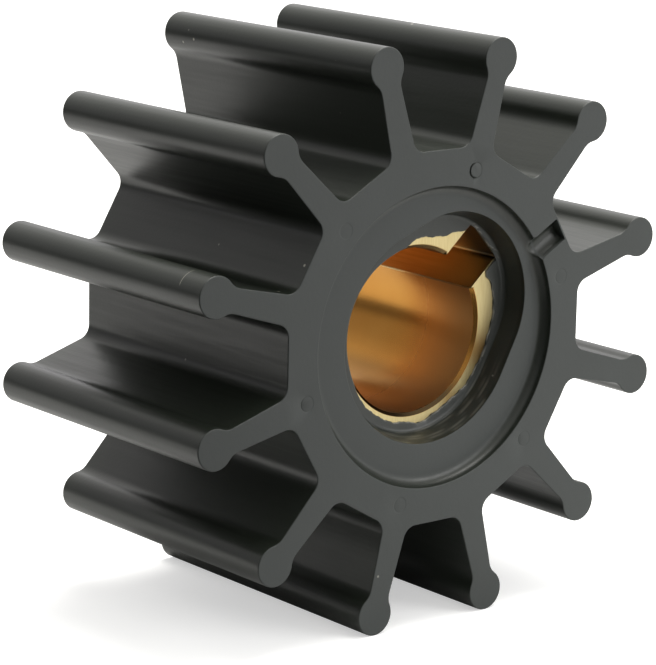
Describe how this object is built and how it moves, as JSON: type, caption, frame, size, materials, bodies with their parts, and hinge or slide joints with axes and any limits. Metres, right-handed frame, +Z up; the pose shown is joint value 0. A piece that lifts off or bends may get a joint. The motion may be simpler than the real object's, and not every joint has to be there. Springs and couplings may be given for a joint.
{
  "type": "rubber pump impeller",
  "caption": "Flexible rubber vane wheel on a keyed brass bushing, for the shaft of a small raw-water cooling pump.",
  "frame": {"origin": "on the axis of the bore, halfway between the wheel's two ends", "axes": "Y runs along the bore with the grooved front end towards -Y, +Z is up with the wheel standing on two vane bulbs, +X is to the right seen from the front"},
  "size_m": [0.0554, 0.0316, 0.0554],
  "materials": {
    "moulded_rubber": "matt moulded",
    "brass": "turned"
  },
  "bodies": {
    "root": {"rubber_body": "moulded_rubber", "brass_bushing": "brass"}
  },
  "joints": []
}
